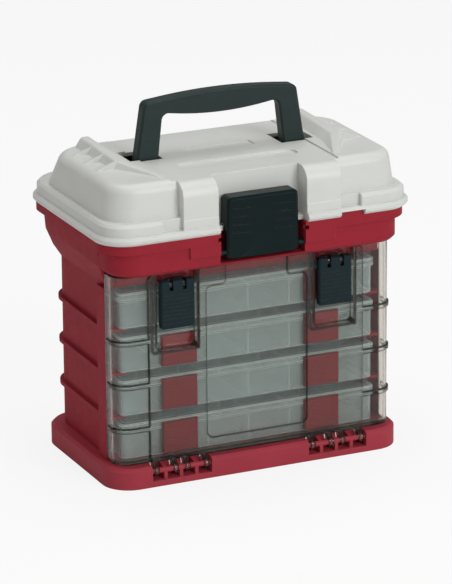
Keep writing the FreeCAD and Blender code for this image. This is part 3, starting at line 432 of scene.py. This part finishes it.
@dataclass(frozen=True)
class ClearPlastic:
    """Clear or frosted plastic: refracts for the eye and lets light through to what is behind.

    Its edges show an opaque painted rim in painted_rim_colour: painted shade where the rim is dark,
    painted highlight where it is pale. The same rim covers painted_grazing_share of what is seen at a
    low angle, as painted shade at the silhouettes.
    haze is the share of a milky surface. depth_colour and depth_density, per metre, set what
    the plastic absorbs. The radius is in metres.
    """

    WAVES: ClassVar[Noise] = Noise(scale=45.0, detail=3.0, rough=0.5)
    WAVE_STRENGTH: ClassVar[float] = 0.5
    WAVE_HEIGHT: ClassVar[float] = 0.00002
    CLOUDS: ClassVar[Noise] = Noise(scale=14.0, detail=3.0, rough=0.5)
    CLOUD_CHANGE: ClassVar[float] = 0.03
    RUBBED: ClassVar[Noise] = Noise(scale=120.0, detail=4.0, rough=0.6)
    RUBBED_SPAN: ClassVar[Span] = (0.3, 0.75)
    ROUGHER: ClassVar[float] = 0.05
    RIM_COSINES: ClassVar[Span] = (0.998, 0.965)
    RIM_ROUGHNESS: ClassVar[float] = 0.22
    GRAZING_SPAN: ClassVar[Span] = (0.5, 0.95)

    name: str
    tint: Colour
    roughness: float
    ior: float
    shadow_tint: Colour
    edge_radius: float
    # opaque rim painted over edges: painted shade when dark, painted highlight when pale
    painted_rim_colour: Colour
    painted_rim_share: float
    edge_gloss: float = 0.2
    painted_grazing_share: float = 0.0
    haze: float = 0.0
    haze_colour: Colour = WHITE
    depth_colour: Colour = WHITE
    depth_density: float = 0.0

    def material(self) -> bpy.types.Material:
        """Build the node material.

        Returns:
            The finished material.
        """
        material = bpy.data.materials.new(self.name)
        graph = NodeGraph(material)
        rounded = graph.soft_edges(self.edge_radius)
        seen = self.with_painted_rim(graph, self.bulk(graph, rounded), rounded)
        lit = graph.add("ShaderNodeBsdfTransparent", Color=self.shadow_tint)
        graph.surface(graph.mix_shaders(graph.ray_is(Ray.SHADOW, Ray.DIFFUSE), seen, lit.outputs[0]))
        if self.depth_density > 0.0:
            depth = graph.add("ShaderNodeVolumeAbsorption", Density=self.depth_density,
                              Color=self.depth_colour)
            graph.feed(graph.output, "Volume", depth.outputs[0])
        return material

    def bulk(self, graph: NodeGraph, rounded: bpy.types.NodeSocket) -> bpy.types.NodeSocket:
        """Slightly wavy transmission, with a milky share where the finish has haze.

        Args:
            graph: graph of the material.
            rounded: normal with soft edges.

        Returns:
            Shader output.
        """
        normal = graph.bump(graph.noise(self.WAVES), self.WAVE_HEIGHT, rounded, self.WAVE_STRENGTH)
        tint = graph.blend(graph.noise(self.CLOUDS), scaled(self.tint, 1.0 - self.CLOUD_CHANGE),
                           scaled(self.tint, 1.0 + self.CLOUD_CHANGE))
        rough = graph.remap(graph.noise(self.RUBBED), self.RUBBED_SPAN,
                            (self.roughness, self.roughness + self.ROUGHER))
        clear = graph.add("ShaderNodeBsdfPrincipled", Base_Color=tint, Roughness=rough,
                          Normal=normal, Transmission_Weight=1.0, IOR=self.ior)
        if self.haze == 0.0:
            return clear.outputs[0]
        milk = graph.add("ShaderNodeBsdfPrincipled", Base_Color=self.haze_colour, Roughness=rough,
                         Normal=normal, IOR=self.ior)
        return graph.mix_shaders(self.haze, clear.outputs[0], milk.outputs[0])

    def with_painted_rim(self, graph: NodeGraph, bulk: bpy.types.NodeSocket,
               rounded: bpy.types.NodeSocket) -> bpy.types.NodeSocket:
        """Bulk of the plastic with the opaque painted rim over it, on edges and at low angles:
        painted shade when the rim colour is dark, painted highlight when it is pale.

        Args:
            graph: graph of the material.
            bulk: shader under the rim.
            rounded: normal with soft edges.

        Returns:
            Shader output.
        """
        # painted rim: painted shade when dark, painted highlight when pale, over edges and low-angle
        # views
        painted_rim_shader = graph.add("ShaderNodeBsdfPrincipled", Base_Color=self.painted_rim_colour, Normal=rounded,
                        Roughness=self.RIM_ROUGHNESS, Specular_IOR_Level=self.edge_gloss)
        facing = graph.add("ShaderNodeLayerWeight", Normal=rounded).outputs["Facing"]
        painted_grazing = graph.remap(facing, self.GRAZING_SPAN, (0.0, self.painted_grazing_share))
        painted_corner = graph.edge_mask(rounded, self.RIM_COSINES, self.painted_rim_share)
        share = graph.combine(Operation.GREATER, painted_grazing, painted_corner)
        return graph.mix_shaders(share, bulk, painted_rim_shader.outputs[0])


@dataclass(frozen=True)
class DrawnSteel:
    """Plain drawn steel with fine lines round the pin."""

    LINES: ClassVar[Noise] = Noise(scale=900.0, detail=3.0, rough=0.6, stretch=(4.0, 0.2, 0.2))
    LINE_SPAN: ClassVar[Span] = (0.3, 0.7)
    LINE_SHADE: ClassVar[float] = 0.8
    LINE_STRENGTH: ClassVar[float] = 0.5
    LINE_HEIGHT: ClassVar[float] = 0.00002

    name: str = "drawn_steel"
    colour: Colour = (0.55, 0.55, 0.54)
    roughness: Span = (0.25, 0.42)

    def material(self) -> bpy.types.Material:
        """Build the node material.

        Returns:
            The finished material.
        """
        material = bpy.data.materials.new(self.name)
        graph = NodeGraph(material)
        lines = graph.noise(self.LINES)
        base = graph.blend(lines, scaled(self.colour, self.LINE_SHADE), self.colour)
        rough = graph.remap(lines, self.LINE_SPAN, self.roughness)
        normal = graph.bump(lines, self.LINE_HEIGHT, strength=self.LINE_STRENGTH)
        shader = graph.add("ShaderNodeBsdfPrincipled", Base_Color=base, Roughness=rough,
                           Normal=normal, Metallic=1.0)
        graph.surface(shader.outputs[0])
        return material


Finish = MouldedPlastic | ClearPlastic | DrawnSteel

MAROON = MouldedPlastic("maroon_plastic", (0.31, 0.018, 0.031), roughness=0.60, grain=0.00016,
                        grain_scale=1100.0, edge_wear=0.08, specular=0.14)
# lighter copy of the maroon for the foot: painted light for the extra light and floor bounce on its
# front
FOOT_MAROON_PAINTED_LIGHT = MouldedPlastic("foot_plastic_painted_light", (0.38, 0.040, 0.060), roughness=0.55, grain=0.00016,
                             grain_scale=1100.0, edge_wear=0.12, specular=0.2)
# strong edge lightening on the lid: mostly painted highlight along its edges and gussets
LID_GREY = MouldedPlastic("lid_plastic", (0.66, 0.67, 0.635), roughness=0.40, flow=0.04,
                          edge_wear=0.8, edge_tone=0.95, edge_radius=0.0013, specular=0.5)
HANDLE_BLACK = MouldedPlastic("handle_plastic", (0.009, 0.024, 0.022), roughness=0.45,
                              grain=0.00018, grain_scale=900.0, flow=0.15, edge_wear=0.08)
SNAP_BLACK = MouldedPlastic("snap_plastic", (0.002, 0.010, 0.010), roughness=0.32, grain=0.00010,
                            grain_scale=1000.0, flow=0.15, edge_wear=0.05, specular=0.14)
LATCH_BLUE = MouldedPlastic("latch_plastic", (0.005, 0.017, 0.022), roughness=0.42,
                            grain=0.00012, grain_scale=1100.0, flow=0.15, edge_wear=0.06,
                            specular=0.18)
BOX_LATCH = MouldedPlastic("box_latch_plastic", (0.27, 0.018, 0.030), roughness=0.42,
                           line_pitch=0.0015, line_depth=0.00015, specular=0.2)
# dark painted rim: painted shade for the dark refracted lines along the door's steps and edges, and
# at its silhouettes
SMOKE = ClearPlastic("smoke_clear", (0.97, 0.965, 0.94), roughness=0.02, ior=1.42,
                     shadow_tint=(0.93, 0.93, 0.91), depth_colour=(0.54, 0.48, 0.38),
                     depth_density=115.0, edge_radius=0.0019, painted_rim_colour=(0.010, 0.012, 0.009),
                     painted_rim_share=0.97, edge_gloss=0.25, painted_grazing_share=0.75)
# pale painted rim: painted highlight along the box edges
BOX_CLEAR = ClearPlastic("box_clear", (0.95, 0.98, 0.985), roughness=0.06, ior=1.28, haze=0.26,
                         haze_colour=(0.64, 0.82, 0.88), shadow_tint=(0.95, 0.98, 0.99),
                         edge_radius=0.0009, painted_rim_colour=(0.80, 0.92, 0.94), painted_rim_share=0.75)
STEEL = DrawnSteel()


# ---------------------------------------------------------------- pieces

MERGE_DISTANCE = 1e-6  # metres
SMOOTH_DEGREES = 32.0  # faces that meet at less than this are shaded as one surface
FLAT_FACE_WEIGHT = 100
BOX_COUNT = 4


class Side(Enum):
    """Which side of the cabinet a piece belongs to, as the node names spell it."""

    LEFT = "left"
    RIGHT = "right"


class Wardrobe:
    """Builds each finish once and dresses CAD nodes with it."""

    def __init__(self, frame: dict) -> None:
        """Keep the frame and an empty stock of materials.
        """
        self.frame = frame
        self.stock: dict[str, bpy.types.Material] = {}

    def get(self, finish: Finish) -> bpy.types.Material:
        """Material of a finish, built on first use.

        Args:
            finish: finish that is wanted.

        Returns:
            Its material.
        """
        if finish.name not in self.stock:
            self.stock[finish.name] = finish.material()
        return self.stock[finish.name]

    def body_of(self, node: str) -> str:
        """Body that a CAD node belongs to."""
        return self.frame["nodes"][node]["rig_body"]

    def skin(self, node: str) -> bpy.types.Object:
        """Copy of a CAD node with merged vertices and smooth shading.

        The copy leaves the imported normals behind, and large faces set its new ones.

        Args:
            node: CAD node name.

        Returns:
            The new piece.
        """
        name = node + "_skin"
        mesh = self.frame["nodes"][node].data.copy()
        mesh.name = name
        merged = bmesh.new()
        merged.from_mesh(mesh)
        bmesh.ops.remove_doubles(merged, verts=merged.verts, dist=MERGE_DISTANCE)
        merged.to_mesh(mesh)
        merged.free()
        if "custom_normal" in mesh.attributes:
            mesh.attributes.remove(mesh.attributes["custom_normal"])
        mesh.shade_smooth()
        mesh.set_sharp_from_angle(angle=math.radians(SMOOTH_DEGREES))
        piece = bpy.data.objects.new(name, mesh)
        bpy.context.scene.collection.objects.link(piece)
        flat = piece.modifiers.new("flat_faces", "WEIGHTED_NORMAL")
        flat.mode = "FACE_AREA"
        flat.weight = FLAT_FACE_WEIGHT
        flat.keep_sharp = True
        return piece

    def dress(self, node: str, finish: Finish, slot: str) -> None:
        """Replace a CAD node by its skin in a finish.

        Args:
            node: CAD node name.
            finish: finish to give it.
            slot: material slot of the record; not used.
        """
        piece = self.skin(node)
        piece.data.materials.clear()
        piece.data.materials.append(self.get(finish))
        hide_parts(node)
        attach(piece, self.body_of(node))
        LOG.info("%s: %d faces", piece.name, len(piece.data.polygons))


@dataclass
class Cabinet:
    """Foot, rack and storage tub with the steel pins of the lid hinge."""

    wardrobe: Wardrobe

    def build(self) -> None:
        """Dress the three mouldings and the pins."""
        # the foot gets the lighter maroon, which paints light on its front
        self.wardrobe.dress("foot_plate", FOOT_MAROON_PAINTED_LIGHT, "maroon_plastic")
        for node in ("rack_body", "storage_tub"):
            self.wardrobe.dress(node, MAROON, "maroon_plastic")
        for side in Side:
            self.wardrobe.dress("lid_hinge_pin_" + side.value, STEEL, "pin_steel")


@dataclass
class LidAssembly:
    """Lid, bail handle and main latch."""

    wardrobe: Wardrobe

    def build(self) -> None:
        """Dress the lid, the handle and the latch."""
        self.wardrobe.dress("lid", LID_GREY, "lid_plastic")
        self.wardrobe.dress("carry_handle", HANDLE_BLACK, "handle_plastic")
        self.wardrobe.dress("main_latch", SNAP_BLACK, "handle_plastic")


@dataclass
class DoorAssembly:
    """Clear drop-down door and its two latches."""

    wardrobe: Wardrobe

    def build(self) -> None:
        """Dress the door and both latches."""
        self.wardrobe.dress("door", SMOKE, "smoke_clear")
        for side in Side:
            self.wardrobe.dress("door_latch_" + side.value, LATCH_BLUE, "latch_plastic")


@dataclass
class UtilityBox:
    """One of the boxes in the rack, numbered from the bottom."""

    wardrobe: Wardrobe
    number: int

    def build(self) -> None:
        """Dress tray, lid, dividers and latches."""
        name = "box_%d_" % self.number
        for part in ("tray", "lid", "dividers"):
            self.wardrobe.dress(name + part, BOX_CLEAR, "box_clear")
        for side in Side:
            self.wardrobe.dress(name + "latch_" + side.value, BOX_LATCH, "box_latch_plastic")


# ---------------------------------------------------------------- studio


@dataclass(frozen=True)
class Lamp:
    """Square area lamp: its place and edge in metres and its power in watts."""

    name: str
    place: Point
    edge: float
    power: float

    def build(self, target: Point) -> None:
        """Make the lamp, hidden from rays that pass through clear plastic, and aim it.

        Args:
            target: point that the lamp faces.
        """
        data = bpy.data.lights.new(self.name, "AREA")
        data.shape = "SQUARE"
        data.size = self.edge
        data.energy = self.power
        lamp = bpy.data.objects.new(self.name, data)
        lamp.visible_transmission = False
        direction = Vector(target) - Vector(self.place)
        lamp.matrix_world = (Matrix.Translation(self.place)
                             @ direction.to_track_quat("-Z", "Y").to_matrix().to_4x4())
        bpy.context.scene.collection.objects.link(lamp)


@dataclass
class Studio:
    """Floor, world, lamps and camera, in degrees and metres but for the _px and _mm fields."""

    azimuth: float = 24.49
    elevation: float = 17.84
    roll: float = -0.48
    focal_px: float = 3927.0
    width_px: float = 452.0
    height_px: float = 584.0
    centre_px: tuple[float, float] = (220.9, 282.7)
    sensor_mm: float = 24.0
    distance: float = 3.319
    far_limit: float = 50.0
    target: Point = (0.0, -0.002, 0.1419)
    floor_half: float = 6.0
    floor_level: float = -0.0003
    floor_colour: Colour = (0.86, 0.86, 0.86)
    floor_glow: float = 0.84
    world_light: float = 0.32
    world_seen: float = 1.0
    lamps: tuple[Lamp, ...] = (
        Lamp("key", place=(0.9, -2.9, 1.5), edge=1.6, power=50.0),
        Lamp("top", place=(0.1, 0.2, 2.6), edge=1.8, power=29.0),
        Lamp("left", place=(-2.6, -0.8, 1.4), edge=1.2, power=2.0),
    )

    def build(self) -> None:
        """Make everything that isn't part of the object."""
        self.camera()
        self.floor()
        self.world()
        for lamp in self.lamps:
            lamp.build(self.target)

    def camera(self) -> None:
        """Camera from its azimuth, elevation and roll about the target."""
        turn, rise, roll = (math.radians(v) for v in (self.azimuth, self.elevation, self.roll))
        back = np.array([-math.sin(turn) * math.cos(rise), -math.cos(turn) * math.cos(rise),
                         math.sin(rise)])
        right = np.cross(-back, [0.0, 0.0, 1.0])
        right /= np.linalg.norm(right)
        up = np.cross(right, -back)
        rolled_right = math.cos(roll) * right + math.sin(roll) * up
        rolled_up = -math.sin(roll) * right + math.cos(roll) * up
        place = np.array(self.target) + self.distance * back
        data = bpy.data.cameras.new("camera")
        data.sensor_fit = "VERTICAL"
        data.sensor_height = self.sensor_mm
        data.lens = self.focal_px / self.height_px * data.sensor_height
        data.shift_x = (self.width_px / 2 - self.centre_px[0]) / self.height_px
        data.shift_y = (self.centre_px[1] - self.height_px / 2) / self.height_px
        data.clip_end = self.far_limit
        camera = bpy.data.objects.new("camera", data)
        matrix = Matrix.Identity(4)
        for column, axis in enumerate((rolled_right, rolled_up, back, place)):
            for row in range(3):
                matrix[row][column] = float(axis[row])
        camera.matrix_world = matrix
        bpy.context.scene.collection.objects.link(camera)
        bpy.context.scene.camera = camera

    def floor(self) -> None:
        """Large pale floor just below the foot, which glows only for the eye."""
        mesh = bpy.data.meshes.new("floor")
        signs = ((-1, -1), (1, -1), (1, 1), (-1, 1))
        corners = [(x * self.floor_half, y * self.floor_half, self.floor_level) for x, y in signs]
        mesh.from_pydata(corners, [], [(0, 1, 2, 3)])
        floor = bpy.data.objects.new("floor", mesh)
        bpy.context.scene.collection.objects.link(floor)
        material = bpy.data.materials.new("floor")
        graph = NodeGraph(material)
        diffuse = graph.add("ShaderNodeBsdfDiffuse", Color=self.floor_colour)
        glow = graph.add("ShaderNodeEmission", Color=WHITE)
        share = graph.remap(graph.ray_is(Ray.CAMERA, Ray.TRANSMISSION), UNIT,
                            (0.0, self.floor_glow))
        graph.surface(graph.mix_shaders(share, diffuse.outputs[0], glow.outputs[0]))
        mesh.materials.append(material)

    def world(self) -> None:
        """Even pale world that the eye sees as white behind the object."""
        world = bpy.data.worlds.new("world")
        bpy.context.scene.world = world
        graph = NodeGraph(world, "ShaderNodeOutputWorld")
        strength = graph.remap(graph.ray_is(Ray.CAMERA, Ray.TRANSMISSION), UNIT,
                               (self.world_light, self.world_seen))
        background = graph.add("ShaderNodeBackground", Color=WHITE, Strength=strength)
        graph.surface(background.outputs[0])


def main() -> None:
    """Load the frame, dress it and set the studio."""
    logging.basicConfig(level=logging.INFO, format="%(name)s: %(message)s")
    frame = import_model()
    bpy.context.scene.view_settings.view_transform = "Standard"
    wardrobe = Wardrobe(frame)
    Cabinet(wardrobe).build()
    LidAssembly(wardrobe).build()
    DoorAssembly(wardrobe).build()
    for number in range(1, BOX_COUNT + 1):
        UtilityBox(wardrobe, number).build()
    Studio().build()
    bpy.context.view_layer.update()


if __name__ == "__main__":
    main()
